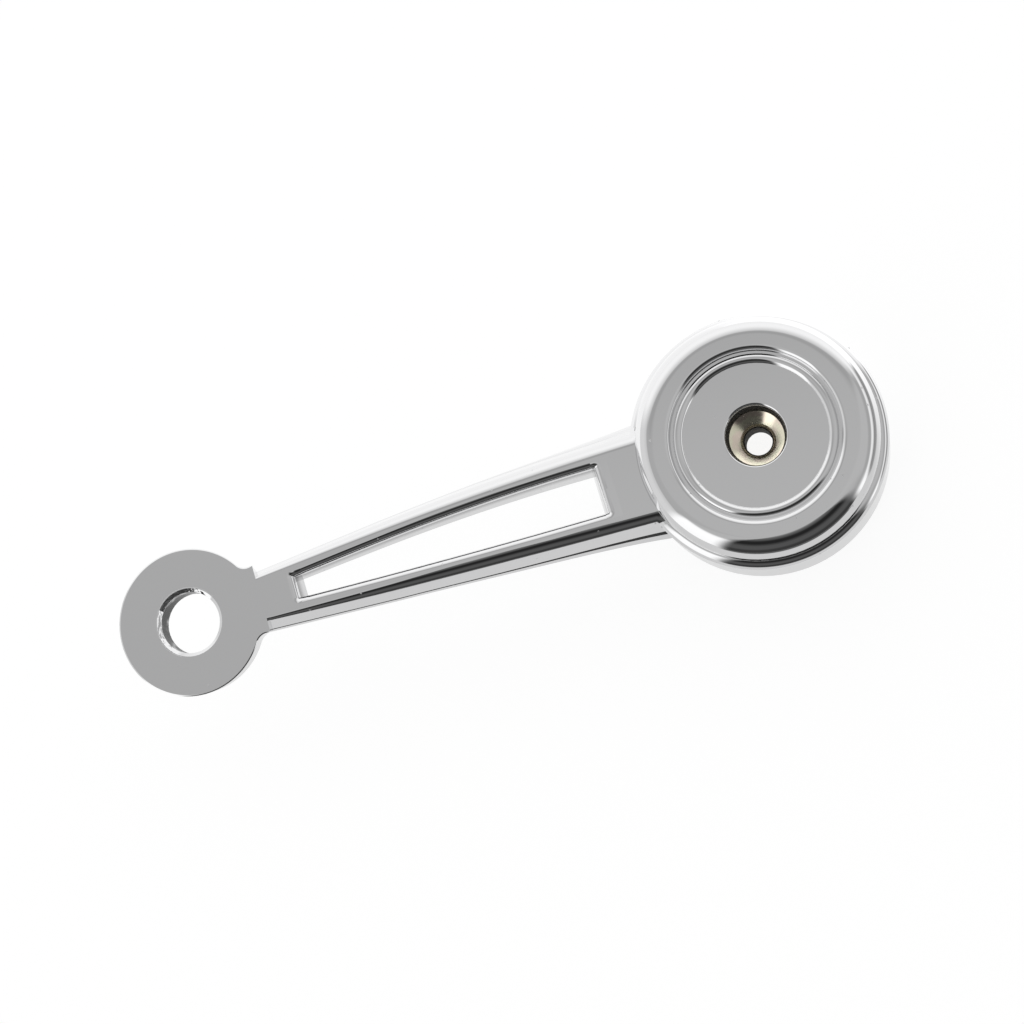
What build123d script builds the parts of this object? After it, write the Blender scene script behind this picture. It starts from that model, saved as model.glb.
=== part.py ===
from build123d import *
from math import cos, pi, radians, sin, sqrt, tan
import os

# Window crank handle, lying as it does on a table with its face up.
# The hub axis is Z through the origin, the hub's back is z = 0, and the arm runs along -X.

# whole handle
centre_distance = 108.0
hub_height = 20.0

# hub, radii from its axis and depths below its face
hub_radius = 23.1
hub_wall = 3.7
tier_step = 1.45
lower_tier_depth = 6.4
lower_tier_break = 0.85
upper_tier_round = 3.7
panel_radius = 15.3
panel_slope = 0.3
panel_depth = 0.7
bead_inset = 1.6
bead_base_half = 0.85
bead_crest_half = 0.3
bead_height = 0.4
recess_radius = 5.37
recess_break = 0.38
recess_seat_radius = 4.9
recess_depth = 3.5

# hub back
boss_radius = 10.6
boss_set_back = 0.6
core_depth = 14.5

# arm, from the neck of the small end to the hub
arm_flat_length = 38.0
arm_fall = 7.08
arm_root = 2.0
arm_overlap = 8.0
arm_thick_start = 4.4
arm_thick_end = 6.0
face_half_start = 3.55
face_half_end = 6.25
face_bow = 0.2
edge_round_start = 0.9
edge_round_end = 2.55
edge_round_bow = 0.6
wall_draft = 18.0
foot_half_start = 5.8
foot_half_end = 10.7
foot_bow = 0.3
flare_length = 14.0
flare_out = 0.7

# lip along the arm's foot
lip_out_start = 0.2
lip_out_end = 0.75
lip_step_start = 0.12
lip_step_end = 0.55
lip_high_start = 1.0
lip_high_end = 1.5
lip_power = 4

# slot through the arm, with its corners taken at the height of the hub's face
slot_start = 20.9
slot_end = 28.25
slot_half_start = 1.95
slot_half_end = 4.9
slot_bow = 0.28
slot_start_draft = 9.0
slot_end_draft = 12.0
slot_side_draft_start = 3.5
slot_side_draft_end = 7.5
slot_round = 1.2

# small end
eye_radius = 13.5
eye_draft = 8.0
neck_length = 14.2
neck_half = 6.3
neck_round = 2.3
knob_hole_radius = 5.6
knob_hole_chamfer = 0.65

# drive insert
insert_radius = 7.2
insert_shoulder_radius = 5.9
insert_shoulder = 1.6
cone_low_radius = 3.1
cone_depth = 3.4
screw_hole_radius = 2.5
screw_hole_break = 0.6
socket_depth = 5.8
socket_root_radius = 5.2
socket_tip_radius = 4.7
socket_teeth = 24

# how the shapes are drawn
clear = 1.0
touching = 0.05
straight_steps = 2
bend_steps = 5

lower_tier_z = hub_height - lower_tier_depth
upper_tier_radius = hub_radius - tier_step
panel_z = hub_height - panel_depth
bead_radius = panel_radius - bead_inset
seat_z = panel_z - recess_depth
shoulder_z = seat_z - insert_shoulder
eye_x = -centre_distance
arm_start_x = eye_x + neck_length
bend_start_x = eye_x + arm_flat_length
arm_end_x = -sqrt(upper_tier_radius ** 2 - foot_half_end ** 2)
arm_length = arm_end_x - arm_start_x


def vertex_at(face, x, y):
    """The corner of a flat face that lies nearest to a point."""
    return face.vertices().sort_by_distance(Vector(x, y, 0))[0]


def ring_solid(points, rounds=None):
    """Turn a closed outline of (radius, height) points about Z, with some of its corners rounded."""
    face = make_face(Polyline(*points, close=True))
    for corner, size in (rounds or {}).items():
        face = fillet(vertex_at(face, *corner), size)
    return revolve(Plane.XZ * face, Axis.Z)


def hub():
    """The turned form of the hub: two tiers, and a sunk panel with a raised bead in it."""
    bead_top_z = panel_z + bead_height
    outline = [
        (0, 0),
        (hub_radius, 0),
        (hub_radius, lower_tier_z - lower_tier_break),
        (hub_radius - lower_tier_break, lower_tier_z),
        (upper_tier_radius, lower_tier_z),
        (upper_tier_radius, hub_height),
        (panel_radius, hub_height),
        (panel_radius - panel_slope, panel_z),
        (bead_radius + bead_base_half, panel_z),
        (bead_radius + bead_crest_half, bead_top_z),
        (bead_radius - bead_crest_half, bead_top_z),
        (bead_radius - bead_base_half, panel_z),
        (0, panel_z),
    ]
    return ring_solid(outline, rounds={(upper_tier_radius, hub_height): upper_tier_round})


def hub_core():
    """The ring-shaped pocket cored into the hub's back, with the boss left standing in it."""
    core_radius = hub_radius - hub_wall
    pocket = [
        (boss_radius, 0),
        (core_radius, 0),
        (core_radius, core_depth),
        (boss_radius, core_depth),
    ]
    gap = [
        (0, 0),
        (boss_radius, 0),
        (boss_radius, boss_set_back),
        (0, boss_set_back),
    ]
    return ring_solid(pocket) + ring_solid(gap)


def arm_top(x):
    """Height of the arm's face: level with the hub's face, then a long bend down to the hub's side."""
    share = max(0.0, x - bend_start_x) / (arm_end_x - bend_start_x)
    return hub_height - arm_fall * share ** 2


def along_arm(x, start, end, bow=0.0, power=1):
    """A size that goes from start to end along the arm, and swells by bow at its middle."""
    share = (x - arm_start_x) / arm_length
    return start + (end - start) * share ** power + 4 * bow * share * (1 - share)


def lip_size(x, start, end):
    """A size of the lip, which grows mostly near the hub."""
    return along_arm(x, start, end, power=lip_power)


def arm_section(x):
    """The arm cut square across at x: face, rounded edges, sloping walls and the lip at its foot."""
    top_z = arm_top(x)
    foot_z = top_z - along_arm(x, arm_thick_start, arm_thick_end)
    flare = flare_out * (max(0.0, x - arm_end_x + flare_length) / flare_length) ** 2
    face_half = along_arm(x, face_half_start, face_half_end, face_bow)
    foot_half = along_arm(x, foot_half_start, foot_half_end, foot_bow) + flare
    round_size = along_arm(x, edge_round_start, edge_round_end, edge_round_bow)
    lip_half = foot_half - lip_size(x, lip_out_start, lip_out_end)
    lip_z = foot_z + lip_size(x, lip_high_start, lip_high_end)
    step = lip_size(x, lip_step_start, lip_step_end)
    full_turn = radians(90 - wall_draft)

    edges = []
    for side in (1, -1):
        rounded = []
        for turn in (0, full_turn / 2, full_turn):
            out = face_half + round_size * sin(turn)
            rounded.append((x, side * out, top_z - round_size * (1 - cos(turn))))
        flank = [(lip_half - step, lip_z + step), (lip_half, lip_z), (foot_half, foot_z)]
        edges.append(Line((x, 0, top_z), rounded[0]))
        edges.append(ThreePointArc(*rounded))
        edges += Polyline(rounded[-1], *[(x, side * y, z) for y, z in flank], (x, 0, foot_z)).edges()
    return make_face(edges)


def arm_stretch(start_x, end_x, count):
    """The arm between two places along it, lofted through evenly spaced sections."""
    step = (end_x - start_x) / (count - 1)
    return loft([arm_section(start_x + i * step) for i in range(count)])


def arm():
    """The arm: a straight stretch from the small end, then the bend down into the hub."""
    straight = arm_stretch(arm_start_x - arm_root, bend_start_x, straight_steps)
    return straight + arm_stretch(bend_start_x, arm_end_x + arm_overlap, bend_steps)


def small_end():
    """The round plate at the knob end, with a short neck towards the arm."""
    disc = Pos(eye_x, 0) * Circle(eye_radius)
    neck = Pos(eye_x, 0) * Rectangle(neck_length, 2 * neck_half, align=(Align.MIN, Align.CENTER))
    plan = disc + neck
    inner_x = eye_x + sqrt(eye_radius ** 2 - neck_half ** 2)
    plan = fillet([vertex_at(plan, inner_x, side * neck_half) for side in (1, -1)], neck_round)
    return extrude(Plane.XY.offset(hub_height) * plan, -arm_thick_start, taper=eye_draft)


def slot_outline(depth):
    """The slot's outline at a depth below the hub's face, narrower the deeper it is."""
    start_x = eye_x + slot_start + depth * tan(radians(slot_start_draft))
    end_x = -slot_end - depth * tan(radians(slot_end_draft))
    start_half = slot_half_start - depth * tan(radians(slot_side_draft_start))
    end_half = slot_half_end - depth * tan(radians(slot_side_draft_end))
    middle = ((start_x + end_x) / 2, (start_half + end_half) / 2 + slot_bow)
    edges = [
        Line((start_x, start_half), (start_x, -start_half)),
        Line((end_x, end_half), (end_x, -end_half)),
    ]
    for side in (1, -1):
        places = [(start_x, start_half), middle, (end_x, end_half)]
        edges.append(ThreePointArc(*[(x, side * y) for x, y in places]))
    return Plane.XY.offset(hub_height - depth) * make_face(edges)


def slot_cutter():
    """A tapered cutter for the slot, from above the face to below the arm."""
    reach = hub_height - arm_top(-slot_end) + arm_thick_end
    return loft([slot_outline(-clear), slot_outline(reach)], ruled=True)


def cut_slot(body):
    """Cut the slot through the arm and round its rim in the arm's face."""
    cutter = slot_cutter()
    body -= cutter
    rim = []
    for edge in body.edges():
        middle = edge @ 0.5
        in_face = abs(middle.Z - arm_top(middle.X)) < touching
        if in_face and cutter.distance_to(middle) < touching:
            rim.append(edge)
    return fillet(rim, slot_round)


def knob_hole():
    """A cutter for the plain hole at the small end, bevelled on the face side."""
    back_z = hub_height - arm_thick_start - clear
    bevel_z = hub_height - knob_hole_chamfer
    outline = [
        (0, back_z),
        (knob_hole_radius, back_z),
        (knob_hole_radius, bevel_z),
        (knob_hole_radius + knob_hole_chamfer + clear, hub_height + clear),
        (0, hub_height + clear),
    ]
    return Pos(eye_x, 0) * ring_solid(outline)


def insert_pocket():
    """A cutter for the stepped bore that takes the insert, and the recess above it in the panel."""
    outline = [
        (0, -clear),
        (insert_radius, -clear),
        (insert_radius, shoulder_z),
        (insert_shoulder_radius, shoulder_z),
        (insert_shoulder_radius, seat_z),
        (recess_seat_radius, seat_z),
        (recess_radius, panel_z - recess_break),
        (recess_radius + recess_break, panel_z),
        (recess_radius + recess_break, panel_z + clear),
        (0, panel_z + clear),
    ]
    return ring_solid(outline)


def crank_body():
    """The chromed casting."""
    body = cut_slot(hub() + arm() + small_end())
    return body - knob_hole() - hub_core() - insert_pocket()


def drive_socket():
    """A cutter for the serrated drive socket: points alternate between root and tip."""
    points = []
    for i in range(2 * socket_teeth):
        radius = socket_root_radius if i % 2 == 0 else socket_tip_radius
        angle = pi * i / socket_teeth
        points.append((radius * cos(angle), radius * sin(angle)))
    return extrude(make_face(Polyline(*points, close=True)), boss_set_back + socket_depth)


def drive_insert():
    """The insert: a shouldered bush with a screw seat in front and the drive socket behind."""
    cone_low_z = seat_z - cone_depth
    outline = [
        (screw_hole_radius, boss_set_back),
        (insert_radius, boss_set_back),
        (insert_radius, shoulder_z),
        (insert_shoulder_radius, shoulder_z),
        (insert_shoulder_radius, seat_z),
        (recess_seat_radius, seat_z),
        (cone_low_radius, cone_low_z),
        (screw_hole_radius, cone_low_z - screw_hole_break),
    ]
    return ring_solid(outline) - drive_socket()


parts = {
    "crank_body": crank_body(),
    "drive_insert": drive_insert(),
}
os.makedirs("parts", exist_ok=True)
for name, part in parts.items():
    export_step(part, f"parts/{name}.step")
    print(name, round(part.volume), len(part.solids()), part.is_valid)
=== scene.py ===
from math import degrees, radians

import bpy
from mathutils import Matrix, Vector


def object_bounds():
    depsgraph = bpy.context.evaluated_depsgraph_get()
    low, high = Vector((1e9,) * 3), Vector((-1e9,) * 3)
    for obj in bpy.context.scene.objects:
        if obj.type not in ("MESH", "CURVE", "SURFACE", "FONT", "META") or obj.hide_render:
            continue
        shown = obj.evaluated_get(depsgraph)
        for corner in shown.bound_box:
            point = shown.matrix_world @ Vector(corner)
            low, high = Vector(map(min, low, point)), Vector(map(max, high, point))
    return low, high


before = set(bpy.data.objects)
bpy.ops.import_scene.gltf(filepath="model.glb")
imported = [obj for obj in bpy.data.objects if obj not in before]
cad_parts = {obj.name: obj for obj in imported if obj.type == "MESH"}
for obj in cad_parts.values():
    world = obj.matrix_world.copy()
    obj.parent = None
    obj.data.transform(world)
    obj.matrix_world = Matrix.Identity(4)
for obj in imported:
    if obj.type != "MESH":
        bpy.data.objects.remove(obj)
cadBox = [list(corner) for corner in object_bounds()]
print("frame loaded")


# helpers for node trees; each takes sockets or plain numbers and gives back a socket

def addNode(tree, kind, **settings):
    node = tree.nodes.new(kind)
    for name, value in settings.items():
        setattr(node, name, value)
    return node


def feed(tree, socket, value):
    # a socket takes either a link or a plain value
    if isinstance(value, bpy.types.NodeSocket):
        tree.links.new(value, socket)
    elif value is not None:
        socket.default_value = value


def maths(tree, operation, first, second=None):
    node = addNode(tree, "ShaderNodeMath", operation=operation)
    feed(tree, node.inputs[0], first)
    feed(tree, node.inputs[1], second)
    return node.outputs[0]


def plus(tree, first, second):
    return maths(tree, "ADD", first, second)


def minus(tree, first, second):
    return maths(tree, "SUBTRACT", first, second)


def times(tree, first, *others):
    # with masks, 1 where all of them are
    for other in others:
        first = maths(tree, "MULTIPLY", first, other)
    return first


def over(tree, first, second):
    return maths(tree, "DIVIDE", first, second)


def larger(tree, first, second):
    # with masks, 1 where either is
    return maths(tree, "MAXIMUM", first, second)


def smaller(tree, first, second):
    return maths(tree, "MINIMUM", first, second)


def above(tree, value, limit):
    return maths(tree, "GREATER_THAN", value, limit)


def below(tree, value, limit):
    return maths(tree, "LESS_THAN", value, limit)


def inside(tree, value, start, end):
    # 1 strictly between start and end
    return times(tree, above(tree, value, start), below(tree, value, end))


def outside(tree, mask):
    return minus(tree, 1.0, mask)


def lengthOf(tree, first, second):
    squares = [times(tree, value, value) for value in (first, second)]
    return maths(tree, "SQRT", plus(tree, *squares))


def easedStep(tree, value, start, end, low=0.0, high=1.0):
    # a soft change from low to high as value goes from start to end
    if start > end:
        start, end, low, high = end, start, high, low
    node = addNode(tree, "ShaderNodeMapRange", interpolation_type="SMOOTHSTEP")
    for name, number in (("From Min", start), ("From Max", end), ("To Min", low), ("To Max", high)):
        node.inputs[name].default_value = number
    feed(tree, node.inputs["Value"], value)
    return node.outputs["Result"]


def band(tree, value, start, end, soft):
    # 1 between start and end, with soft edges
    rise = easedStep(tree, value, start - soft, start + soft)
    fall = easedStep(tree, value, end + soft, end - soft)
    return times(tree, rise, fall)


def profile(tree, value, points, widest, highest):
    # a smooth curve through (value, result) points
    node = addNode(tree, "ShaderNodeFloatCurve")
    curve = node.mapping.curves[0]
    for x, y in points[1:-1]:
        curve.points.new(x / widest, y / highest)
    for end in (0, -1):
        curve.points[end].location = (points[end][0] / widest, points[end][1] / highest)
    for point in curve.points:
        point.handle_type = "AUTO_CLAMPED"
    node.mapping.update()
    feed(tree, node.inputs["Value"], over(tree, value, widest))
    return times(tree, node.outputs[0], highest)


def mixed(tree, mask, first, second, dataType, firstInput, output):
    node = addNode(tree, "ShaderNodeMix", data_type=dataType)
    feed(tree, node.inputs["Factor"], mask)
    feed(tree, node.inputs[firstInput], first)
    feed(tree, node.inputs[firstInput + 1], second)
    return node.outputs[output]


def mixValues(tree, mask, first, second):
    return mixed(tree, mask, first, second, "FLOAT", 2, 0)


def mixVectors(tree, mask, first, second):
    return mixed(tree, mask, first, second, "VECTOR", 4, 1)


def mixColours(tree, mask, first, second):
    return mixed(tree, mask, first, second, "RGBA", 6, 2)


def objectPlace(tree):
    return addNode(tree, "ShaderNodeTexCoord").outputs["Object"]


def joined(tree, x, y, z):
    node = addNode(tree, "ShaderNodeCombineXYZ")
    for socket, value in zip(node.inputs, (x, y, z)):
        feed(tree, socket, value)
    return node.outputs[0]


def split(tree, vector):
    node = addNode(tree, "ShaderNodeSeparateXYZ")
    feed(tree, node.inputs[0], vector)
    return list(node.outputs)


def newMaterial(name):
    material = bpy.data.materials.new(name)
    material.use_nodes = True
    tree = material.node_tree
    tree.nodes.clear()
    output = addNode(tree, "ShaderNodeOutputMaterial")
    return material, tree, output


view = {
    "place": (0.00752, -0.06248, 0.37762),   # metres
    "turn": (7.024, 10.887, -16.998),        # degrees
    "lens": 72.4,
    "nearest": 0.01,
    "farthest": 50.0,
}

camera = bpy.data.objects.new("camera", bpy.data.cameras.new("camera"))
bpy.context.scene.collection.objects.link(camera)
camera.location = view["place"]
camera.rotation_euler = [radians(angle) for angle in view["turn"]]
camera.data.lens = view["lens"]
camera.data.clip_start = view["nearest"]
camera.data.clip_end = view["farthest"]
bpy.context.scene.camera = camera
bpy.context.scene.view_settings.view_transform = "Standard"
print("camera placed")


# the light tent: how bright its cloth is, by the angle from straight up, side by side
tent = {
    "radius": 3.0,
    "segments": 96,
    "rings": 48,
    "back": [(0, 0.55), (9, 0.53), (14, 0.47), (19, 0.42), (26, 0.44), (31, 0.69), (37, 0.83),
             (45, 0.97), (53, 1.09), (63, 1.14), (90, 1.08)],
    "left": [(0, 0.54), (12, 0.50), (38, 0.48), (41, 0.50), (43, 0.65), (46, 0.69), (55, 0.76),
             (65, 0.80), (90, 0.80)],
    "window": [(0, 0.55), (24, 0.55), (29, 0.62), (36, 1.15), (44, 1.27), (90, 1.22)],
    "opening": [(0, 0.54), (3, 0.50), (5, 0.36), (8, 0.22), (12, 0.14), (18, 0.09), (25, 0.025),
                (34, 0.02), (44, 0.06), (54, 0.10), (66, 0.10), (77, 0.05), (90, 0.05)],
    "corner": [(0, 0.55), (36, 0.52), (55, 0.45), (62, 0.55), (67, 0.73), (79, 1.22), (90, 1.23)],
    "right": [(0, 0.56), (43, 0.56), (50, 0.48), (57, 0.44), (62, 0.45), (67, 0.75), (73, 1.02),
              (80, 0.78), (86, 0.40), (90, 0.15)],
    # where each side starts and ends going round, 0 at the front and 90 at the right, and its soft edge
    "sides": [("left", -127, -64, 8), ("right", 40, 116, 7), ("corner", 40, 60, 6),
              ("window", -74, -40, 4), ("opening", -42, 46, 6)],
    "widest": 90,
    "brightest": 1.3,
}


def tentMaterial():
    material, tree, output = newMaterial("tentCloth")
    place = objectPlace(tree)
    x, y, z = split(tree, place)
    length = addNode(tree, "ShaderNodeVectorMath", operation="LENGTH")
    feed(tree, length.inputs[0], place)

    def angle(across, along):
        return times(tree, maths(tree, "ARCTAN2", across, along), degrees(1))

    def side(name, lean):
        return profile(tree, lean, tent[name], tent["widest"], tent["brightest"])

    fromTop = times(tree, maths(tree, "ARCCOSINE", over(tree, z, length.outputs["Value"])), degrees(1))
    leans = {"left": angle(times(tree, x, -1.0), z), "right": angle(x, z)}
    turn = angle(x, times(tree, y, -1.0))
    glow = side("back", angle(y, z))
    for name, start, end, soft in tent["sides"]:
        glow = mixValues(tree, band(tree, turn, start, end, soft), glow, side(name, leans.get(name, fromTop)))

    lamp = addNode(tree, "ShaderNodeEmission")
    feed(tree, lamp.inputs["Strength"], glow)
    feed(tree, output.inputs["Surface"], lamp.outputs[0])
    return material


def makeTent():
    bpy.ops.object.select_all(action="DESELECT")
    bpy.ops.mesh.primitive_uv_sphere_add(segments=tent["segments"], ring_count=tent["rings"],
                                         radius=tent["radius"])
    cloth = bpy.context.object
    cloth.name = "lightTent"
    bpy.ops.object.shade_smooth()
    cloth.data.materials.append(tentMaterial())
    cloth.visible_camera = False


# the floor: white to the camera, and in metal as bright as each side of the tent leaves it
ground = {
    "size": 8.0,
    "colour": 0.9,
    "white": 1.12,                      # plain white to the camera
    "shadowShare": 0.2,                 # how much of the object's shadow the camera sees
    "nearFront": 0.80,
    "nearBack": 1.25,
    "nearBackRight": 1.50,
    "farFront": 0.05,                   # in the tent's opening
    "farRight": 0.32,
    "softSideways": 0.02,               # metres, half the change from left to right
    "softForwards": 0.03,               # and from front to back
    "rightFrom": (0.06, 0.11),          # metres, where the far floor starts on the right
    "rightFan": (-0.6, 0.5, 0.08),      # its slopes from the middle, and their soft edge
    "frontFrom": (-0.10, -0.13),
    "frontFan": (-0.85, 0.8, 0.1),
    "least": 0.01,                      # metres, so that no slope is divided by nothing
}


def groundMaterial():
    material, tree, output = newMaterial("paleFloor")
    x, y, z = split(tree, objectPlace(tree))
    softX = ground["softSideways"]
    softY = ground["softForwards"]
    backGlow = easedStep(tree, x, -softX, softX, ground["nearBack"], ground["nearBackRight"])
    mirrored = mixValues(tree, easedStep(tree, y, -softY, softY), ground["nearFront"], backGlow)
    slope = over(tree, y, larger(tree, x, ground["least"]))
    onRight = times(tree, easedStep(tree, x, *ground["rightFrom"]), band(tree, slope, *ground["rightFan"]))
    mirrored = mixValues(tree, onRight, mirrored, ground["farRight"])
    slope = over(tree, x, larger(tree, times(tree, y, -1.0), ground["least"]))
    inFront = times(tree, easedStep(tree, y, *ground["frontFrom"]), band(tree, slope, *ground["frontFan"]))
    mirrored = mixValues(tree, inFront, mirrored, ground["farFront"])

    path = addNode(tree, "ShaderNodeLightPath")
    inMetal = larger(tree, path.outputs["Is Glossy Ray"], path.outputs["Is Transmission Ray"])
    seen = larger(tree, path.outputs["Is Camera Ray"], inMetal)
    lamp = addNode(tree, "ShaderNodeEmission")
    feed(tree, lamp.inputs["Strength"], mixValues(tree, inMetal, ground["white"], mirrored))
    matt = addNode(tree, "ShaderNodeBsdfDiffuse")
    matt.inputs["Color"].default_value = (*[ground["colour"]] * 3, 1)
    mixer = addNode(tree, "ShaderNodeMixShader")
    feed(tree, mixer.inputs[0], times(tree, seen, 1 - ground["shadowShare"]))
    feed(tree, mixer.inputs[1], matt.outputs[0])
    feed(tree, mixer.inputs[2], lamp.outputs[0])
    feed(tree, output.inputs["Surface"], mixer.outputs[0])
    return material


def makeGround():
    bpy.ops.object.select_all(action="DESELECT")
    bpy.ops.mesh.primitive_plane_add(size=ground["size"], location=(0, 0, cadBox[0][2]))
    floor = bpy.context.object
    floor.name = "floor"
    floor.data.materials.append(groundMaterial())


studio = {
    "colour": (1, 1, 1, 1),
    "strength": 1.0,
}


def makeWorld():
    world = bpy.data.worlds.new("studio")
    bpy.context.scene.world = world
    world.use_nodes = True
    tree = world.node_tree
    tree.nodes.clear()
    output = addNode(tree, "ShaderNodeOutputWorld")
    background = addNode(tree, "ShaderNodeBackground")
    background.inputs["Color"].default_value = studio["colour"]
    background.inputs["Strength"].default_value = studio["strength"]
    feed(tree, output.inputs["Surface"], background.outputs[0])


makeTent()
makeGround()
makeWorld()
print("tent and floor ready")


# what a plated or turned surface has all over: ripple, cloudy polish and dust
fineWear = {
    "inputs": {"Ripple Scale": 300.0, "Cloud Scale": 120.0, "Dust Scale": 600.0, "Dust Share": 0.5},
    "outputs": ("Ripple", "Cloud", "Dust"),
    "noiseDetail": {"Ripple": 2.0, "Cloud": 4.0},
    "speckEdge": (0.16, 0.08),
}


def makeFineWear():
    group = bpy.data.node_groups.new("fineWear", "ShaderNodeTree")
    for name, start in fineWear["inputs"].items():
        socket = group.interface.new_socket(name, in_out="INPUT", socket_type="NodeSocketFloat")
        socket.default_value = start
    for name in fineWear["outputs"]:
        group.interface.new_socket(name, in_out="OUTPUT", socket_type="NodeSocketFloat")
    given = addNode(group, "NodeGroupInput")
    result = addNode(group, "NodeGroupOutput")
    place = objectPlace(group)
    for name, detail in fineWear["noiseDetail"].items():
        noise = addNode(group, "ShaderNodeTexNoise")
        noise.inputs["Detail"].default_value = detail
        feed(group, noise.inputs["Vector"], place)
        feed(group, noise.inputs["Scale"], given.outputs[name + " Scale"])
        feed(group, result.inputs[name], noise.outputs["Fac"])
    cells = addNode(group, "ShaderNodeTexVoronoi")
    feed(group, cells.inputs["Vector"], place)
    feed(group, cells.inputs["Scale"], given.outputs["Dust Scale"])
    channels = addNode(group, "ShaderNodeSeparateColor")
    feed(group, channels.inputs[0], cells.outputs["Color"])
    chosen = below(group, channels.outputs[0], given.outputs["Dust Share"])
    speck = easedStep(group, cells.outputs["Distance"], *fineWear["speckEdge"])
    feed(group, result.inputs["Dust"], times(group, chosen, speck))
    return group


def useGroup(tree, group, values):
    node = addNode(tree, "ShaderNodeGroup", node_tree=group)
    for name, value in values.items():
        node.inputs[name].default_value = value
    return node.outputs


def millimetres(tree):
    node = addNode(tree, "ShaderNodeVectorMath", operation="MULTIPLY")
    feed(tree, node.inputs[0], objectPlace(tree))
    feed(tree, node.inputs[1], (1000.0, 1000.0, 1000.0))
    return split(tree, node.outputs[0])


# the roundings of the casting are finer than its facets, so their normals come from their sizes, in millimetres

leastUpright = 0.0001       # of a normal's upright part, squared
leastRise = 0.09            # of a point's height in its rounding
leastReach = 0.001

# each turned edge of the hub: its centre and size, and the radii and heights between which it lies
hubEdges = [
    {"centre": 17.95, "size": 3.70, "radii": (17.95, 21.62), "heights": (15.9, 20.1)},   # upper tier
    {"centre": 21.30, "size": 1.85, "radii": (21.66, 23.2), "heights": (12.6, 13.66)},   # lower tier
    {"centre": 16.05, "size": 1.10, "radii": (15.30, 16.05), "heights": (19.2, 20.1)},   # panel's edge
    {"centre": 13.70, "size": 1.103, "radii": (12.86, 14.54), "heights": (19.2, 20.1)},  # bead
    {"centre": 5.82, "size": 0.46, "radii": (5.37, 5.82), "heights": (18.8, 20.1)},      # recess mouth
]
armMeets = {"below": 15.0, "half": 9.3}      # where the arm covers the hub's edges

# the arm's outer edges and the slot's rim; a pair is the small end and the hub end, a third number the bow
arm = {
    "height": 20.0,
    "start": -93.8,
    "length": 74.98,
    "bendStart": -70.0,
    "bendLength": 51.18,
    "fall": 7.08,
    "edgeStart": 0.6,                        # past the arm's own start
    "edgeEnd": -19.0,
    "hubEdge": 21.8,
    "levelFrom": -42.0,                      # the face levels out before the hub
    "levelTo": -27.0,
    "faceDepth": 0.3,
    "faceHalf": (3.55, 6.25, 0.2),
    "edgeRound": (0.9, 2.55, 0.6),
    "edgeTurn": 0.951,
    "edgeDepth": 0.75,
    "steepest": 0.995,
    "slotStart": -87.1,
    "slotLength": 58.85,
    "slotFarEnd": -26.8,
    "slotHalf": (1.95, 4.9, 0.28),
    "slotLean": (0.061, 0.132),
    "slotRound": 1.2,
    "rimShare": (0.03, 0.975),
    "rimTurn": 1.7,
    "wallShare": (-0.03, 1.03),
    "wallFrom": 0.7,                         # of the rim's rounding
    "wallTop": 1.15,                         # depth at which the slot's wall starts
    "wallDepths": (1.2, 3.6),
    "wallShades": (0.38, 0.85),              # painted shade down the slot's wall, darkest near its top
}

# the broken edge round the small end's face, and round its two hollow corners at the neck
plate = {
    "centre": -108.0,
    "radius": 13.5,
    "width": 0.28,
    "lowest": 19.7,
    "reach": 1.05,
    "meet": 7.35,
    "hollow": (-94.75, 8.6),
    "hollowRadius": 2.3,
    "hollowPast": -0.9,
}


def alongArm(tree, share, low, high, bow=0.0):
    straight = plus(tree, times(tree, share, high - low), low)
    return plus(tree, straight, times(tree, share, outside(tree, share), 4 * bow))


def uprightPart(tree, lean):
    return maths(tree, "SQRT", larger(tree, minus(tree, 1.0, times(tree, lean, lean)), leastUpright))


def roundLean(tree, out, depth, size):
    # the sine of how far a rounded edge leans, from how far out and how deep a point is on it
    rise = larger(tree, minus(tree, 1.0, over(tree, depth, size)), leastRise)
    return over(tree, out, larger(tree, lengthOf(tree, out, rise), leastReach))


def hubShape(tree, x, y, z):
    radius = lengthOf(tree, x, y)
    underArm = times(tree, below(tree, x, 0.0), below(tree, maths(tree, "ABSOLUTE", y), armMeets["half"]))
    lean = 0.0
    onHub = 0.0
    for edge in hubEdges:
        onEdge = times(tree, inside(tree, radius, *edge["radii"]), inside(tree, z, *edge["heights"]))
        if edge["heights"][1] < armMeets["below"]:
            onEdge = times(tree, onEdge, outside(tree, underArm))
        part = over(tree, minus(tree, radius, edge["centre"]), edge["size"])
        lean = plus(tree, lean, times(tree, part, onEdge))
        onHub = plus(tree, onHub, onEdge)
    outwards = over(tree, lean, radius)
    normal = joined(tree, times(tree, x, outwards), times(tree, y, outwards), uprightPart(tree, lean))
    return normal, smaller(tree, onHub, 1.0)


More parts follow.
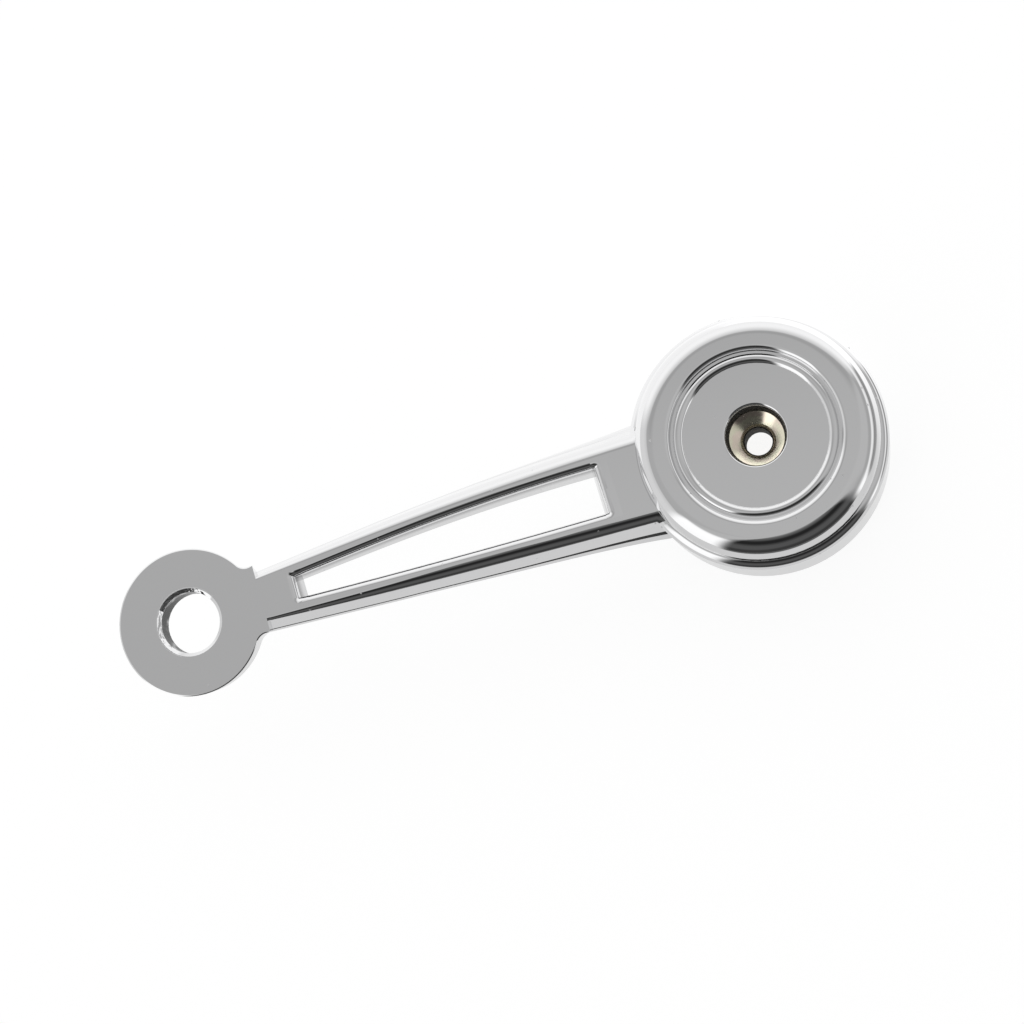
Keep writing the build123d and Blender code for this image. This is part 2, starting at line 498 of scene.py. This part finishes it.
def armShape(tree, x, y, z):
    # the arm's normals and where they hold, and the painted shade down the slot's wall
    aside = maths(tree, "ABSOLUTE", y)
    share = over(tree, minus(tree, x, arm["start"]), arm["length"])
    bend = larger(tree, over(tree, minus(tree, x, arm["bendStart"]), arm["bendLength"]), 0.0)
    drop = times(tree, bend, bend, arm["fall"])
    slope = times(tree, bend, 2 * arm["fall"] / arm["bendLength"],
                  easedStep(tree, x, arm["levelTo"], arm["levelFrom"]))
    depth = minus(tree, minus(tree, arm["height"], drop), z)

    edgeRound = alongArm(tree, share, *arm["edgeRound"])
    outer = over(tree, minus(tree, aside, alongArm(tree, share, *arm["faceHalf"])), edgeRound)
    outerLean = roundLean(tree, outer, depth, edgeRound)
    onArm = times(tree, inside(tree, x, arm["start"] + arm["edgeStart"], arm["edgeEnd"]),
                  above(tree, lengthOf(tree, x, y), arm["hubEdge"]))
    onOuter = times(tree, onArm, inside(tree, outer, 0.0, arm["edgeTurn"]),
                    below(tree, depth, times(tree, edgeRound, arm["edgeDepth"])))

    slotShare = over(tree, minus(tree, x, arm["slotStart"]), arm["slotLength"])
    lost = times(tree, drop, alongArm(tree, slotShare, *arm["slotLean"]))
    slotHalf = minus(tree, alongArm(tree, slotShare, *arm["slotHalf"]), lost)
    rim = over(tree, minus(tree, plus(tree, slotHalf, arm["slotRound"]), aside), arm["slotRound"])
    rimLean = roundLean(tree, rim, depth, arm["slotRound"])
    onRim = times(tree, inside(tree, slotShare, *arm["rimShare"]), inside(tree, rim, 0.0, arm["rimTurn"]))

    clearOfSlot = larger(tree, above(tree, x, arm["slotFarEnd"]), below(tree, rim, 0.0))
    onFace = times(tree, onArm, clearOfSlot, below(tree, outer, 0.0), below(tree, depth, arm["faceDepth"]),
                   above(tree, x, arm["levelFrom"]))

    sideways = minus(tree, times(tree, outerLean, onOuter), times(tree, rimLean, onRim))
    sideways = larger(tree, smaller(tree, sideways, arm["steepest"]), -arm["steepest"])
    upright = uprightPart(tree, sideways)
    normal = joined(tree, times(tree, slope, upright), times(tree, sideways, maths(tree, "SIGN", y)), upright)

    onWall = times(tree, inside(tree, slotShare, *arm["wallShare"]), above(tree, rim, arm["wallFrom"]),
                   above(tree, depth, arm["wallTop"]))
    shade = mixValues(tree, onWall, 1.0, easedStep(tree, depth, *arm["wallDepths"], *arm["wallShades"]))
    return normal, larger(tree, larger(tree, onOuter, onRim), onFace), shade


def plateShape(tree, x, y, z):
    aside = maths(tree, "ABSOLUTE", y)
    along = minus(tree, x, plate["centre"])
    radius = lengthOf(tree, along, y)
    onFace = above(tree, z, plate["lowest"])
    nearNeck = below(tree, aside, plate["meet"])
    freeOfNeck = outside(tree, times(tree, above(tree, along, 0.0), nearNeck))
    rise = over(tree, minus(tree, radius, plate["radius"] - plate["width"]), plate["width"])
    onRound = times(tree, onFace, freeOfNeck, inside(tree, rise, 0.0, plate["reach"]))

    toHollow = minus(tree, plate["hollow"][0], x)
    beside = minus(tree, plate["hollow"][1], aside)
    gap = lengthOf(tree, toHollow, beside)
    dip = over(tree, minus(tree, plate["hollowRadius"] + plate["width"], gap), plate["width"])
    onHollow = times(tree, onFace, inside(tree, dip, 0.0, plate["reach"]),
                     above(tree, toHollow, plate["hollowPast"]), nearNeck)

    roundPart = over(tree, times(tree, rise, onRound), radius)
    hollowPart = over(tree, times(tree, dip, onHollow), gap)
    leanX = plus(tree, times(tree, along, roundPart), times(tree, toHollow, hollowPart))
    leanY = plus(tree, times(tree, y, roundPart), times(tree, beside, maths(tree, "SIGN", y), hollowPart))
    normal = joined(tree, leanX, leanY, uprightPart(tree, lengthOf(tree, leanX, leanY)))
    return normal, larger(tree, onRound, onHollow)


def shapedNormals(tree, mask, shaped):
    # the mesh's own normals, and the shaped ones where the mask is 1
    toWorld = addNode(tree, "ShaderNodeVectorTransform", vector_type="NORMAL",
                      convert_from="OBJECT", convert_to="WORLD")
    feed(tree, toWorld.inputs[0], shaped)
    meshNormal = addNode(tree, "ShaderNodeNewGeometry").outputs["Normal"]
    return mixVectors(tree, mask, meshNormal, toWorld.outputs[0])


def castingNormals(tree, x, y, z):
    hubNormal, onHub = hubShape(tree, x, y, z)
    armNormal, onArm, slotShade = armShape(tree, x, y, z)
    plateNormal, onPlate = plateShape(tree, x, y, z)
    shaped = mixVectors(tree, onPlate, armNormal, plateNormal)
    shaped = mixVectors(tree, onHub, shaped, hubNormal)
    mask = smaller(tree, plus(tree, onHub, larger(tree, onArm, onPlate)), 1.0)
    return shapedNormals(tree, mask, shaped), slotShade


def dressMetal(tree, metal, output, height, normals):
    bump = addNode(tree, "ShaderNodeBump")
    bump.inputs["Distance"].default_value = 1.0
    feed(tree, bump.inputs["Height"], height)
    feed(tree, bump.inputs["Normal"], normals)
    feed(tree, metal.inputs["Normal"], bump.outputs["Normal"])
    feed(tree, output.inputs["Surface"], metal.outputs[0])


chrome = {
    "wear": {"Ripple Scale": 110.0, "Cloud Scale": 60.0, "Dust Scale": 500.0, "Dust Share": 0.14},
    "fineWear": {"Ripple Scale": 650.0, "Cloud Scale": 300.0},
    "colour": (0.79, 0.79, 0.795, 1),
    "recessShadeColour": (0.035, 0.033, 0.03, 1), # painted shade down the recess
    # painted shade on the slot's wall
    "slotShadeColour": (0.05, 0.05, 0.05, 1),
    "holeShadeColour": (0.05, 0.05, 0.05, 1),     # painted shade in the knob hole, in patches
    "patches": (0.5, 0.8),
    "clouds": (0.45, 0.75),
    "roughness": 0.03,
    "cloudRoughness": 0.05,
    "dustRoughness": 0.45,
    "recessRoughness": 0.5,
    "holeRoughness": 0.35,
    "ripple": 0.000005,                      # metres
    "fineRipple": 0.0000012,
    "recessRadius": 6.0,                     # millimetres from here on
    "recessTop": (19.1, 18.5),
    "holeRadius": 5.66,
    "holeTop": (19.37, 19.30),
    "rimRadius": 6.4,
    "rimLowest": 15.0,
    "lumpyFrom": (3.0, -2.0),                # across the knob hole
    "wornFrom": (-1.0, 2.5),
    "lumps": 0.00028,                        # metres, lumpy plating on one side of the knob hole's rim
    "worn": 0.55,                            # how far its other side is worn towards flat
}


def chromeMaterial(group):
    material, tree, output = newMaterial("brightChrome")
    wear = useGroup(tree, group, chrome["wear"])
    fine = useGroup(tree, group, chrome["fineWear"])
    x, y, z = millimetres(tree)
    along = minus(tree, x, plate["centre"])
    holeRadius = lengthOf(tree, along, y)
    inRecess = times(tree, below(tree, lengthOf(tree, x, y), chrome["recessRadius"]),
                     easedStep(tree, z, *chrome["recessTop"]))
    inHole = times(tree, below(tree, holeRadius, chrome["holeRadius"]), easedStep(tree, z, *chrome["holeTop"]))
    onRim = times(tree, below(tree, holeRadius, chrome["rimRadius"]), outside(tree, inHole),
                  above(tree, z, chrome["rimLowest"]))
    across = minus(tree, along, y)
    lumpy = times(tree, onRim, easedStep(tree, across, *chrome["lumpyFrom"]))
    worn = times(tree, onRim, easedStep(tree, across, *chrome["wornFrom"], 0.0, chrome["worn"]))
    normals, slotShade = castingNormals(tree, x, y, z)
    normals = mixVectors(tree, worn, normals, joined(tree, 0.0, 0.0, 1.0))

    metal = addNode(tree, "ShaderNodeBsdfPrincipled")
    metal.inputs["Metallic"].default_value = 1.0
    # painted shade in the knob hole, broken into patches by the cloud noise
    patches = easedStep(tree, fine["Cloud"], *chrome["patches"])
    patchyHoleShade = mixColours(tree, patches, chrome["holeShadeColour"], chrome["colour"])
    colour = mixColours(tree, inHole, chrome["colour"], patchyHoleShade)
    # painted shade down the slot's wall, darkest near its top
    colour = mixColours(tree, slotShade, chrome["slotShadeColour"], colour)
    # painted shade down the recess wall
    colour = mixColours(tree, inRecess, colour, chrome["recessShadeColour"])
    feed(tree, metal.inputs["Base Color"], colour)
    rough = easedStep(tree, wear["Cloud"], *chrome["clouds"], chrome["roughness"], chrome["cloudRoughness"])
    rough = mixValues(tree, wear["Dust"], rough, chrome["dustRoughness"])
    rough = mixValues(tree, inRecess, rough, chrome["recessRoughness"])
    rough = mixValues(tree, inHole, rough, chrome["holeRoughness"])
    feed(tree, metal.inputs["Roughness"], rough)

    height = plus(tree, times(tree, wear["Ripple"], chrome["ripple"]),
                  times(tree, fine["Ripple"], chrome["fineRipple"]))
    height = plus(tree, height, times(tree, fine["Ripple"], times(tree, lumpy, chrome["lumps"])))
    dressMetal(tree, metal, output, height, normals)
    return material


brass = {
    "wear": {"Ripple Scale": 260.0, "Cloud Scale": 380.0, "Dust Scale": 900.0, "Dust Share": 0.4},
    "warm": (0.97, 0.84, 0.72, 1),
    "olive": (0.98, 0.95, 0.75, 1),
    # painted shade down the screw bore: near black and not metal
    "bore": (0.022, 0.018, 0.014, 1),
    "clouds": (0.38, 0.62),
    "roughness": 0.13,
    "cloudRoughness": 0.208,
    "dustRoughness": 0.4,
    "boreRoughness": 0.7,
    "ripple": 0.000018,                      # metres
    "toolMarks": 0.0000030,                  # metres
    "toolMarkPitch": 14.0,                   # turns of the tool in a millimetre, times two pi
    "boreRadii": (2.85, 2.65),               # millimetres
    "boreHeights": (1.2, 2.5),
    "coneRadii": (3.12, 4.92),
    "coneHeights": (12.3, 15.85),
    "coneLean": 0.45,                        # how far the seat's cone leans in, as a sine
}


def brassMaterial(group):
    material, tree, output = newMaterial("turnedBrass")
    wear = useGroup(tree, group, brass["wear"])
    x, y, z = millimetres(tree)
    radius = lengthOf(tree, x, y)
    inBore = times(tree, easedStep(tree, radius, *brass["boreRadii"]), easedStep(tree, z, *brass["boreHeights"]))

    metal = addNode(tree, "ShaderNodeBsdfPrincipled")
    cloud = easedStep(tree, wear["Cloud"], *brass["clouds"])
    colour = mixColours(tree, cloud, brass["warm"], brass["olive"])
    # painted shade down the screw bore
    feed(tree, metal.inputs["Base Color"], mixColours(tree, inBore, colour, brass["bore"]))
    rough = mixValues(tree, cloud, brass["roughness"], brass["cloudRoughness"])
    rough = mixValues(tree, wear["Dust"], rough, brass["dustRoughness"])
    feed(tree, metal.inputs["Roughness"], mixValues(tree, inBore, rough, brass["boreRoughness"]))
    feed(tree, metal.inputs["Metallic"], outside(tree, inBore))

    onCone = times(tree, inside(tree, radius, *brass["coneRadii"]), inside(tree, z, *brass["coneHeights"]))
    inwards = over(tree, -brass["coneLean"], radius)
    cone = joined(tree, times(tree, x, inwards), times(tree, y, inwards), (1 - brass["coneLean"] ** 2) ** 0.5)
    marks = maths(tree, "SINE", times(tree, plus(tree, radius, z), brass["toolMarkPitch"]))
    height = plus(tree, times(tree, marks, brass["toolMarks"]), times(tree, wear["Ripple"], brass["ripple"]))
    dressMetal(tree, metal, output, height, shapedNormals(tree, onCone, cone))
    return material


wearGroup = makeFineWear()
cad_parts["crank_body"].material_slots[0].material = chromeMaterial(wearGroup)
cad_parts["drive_insert"].material_slots[0].material = brassMaterial(wearGroup)
print("metals on")
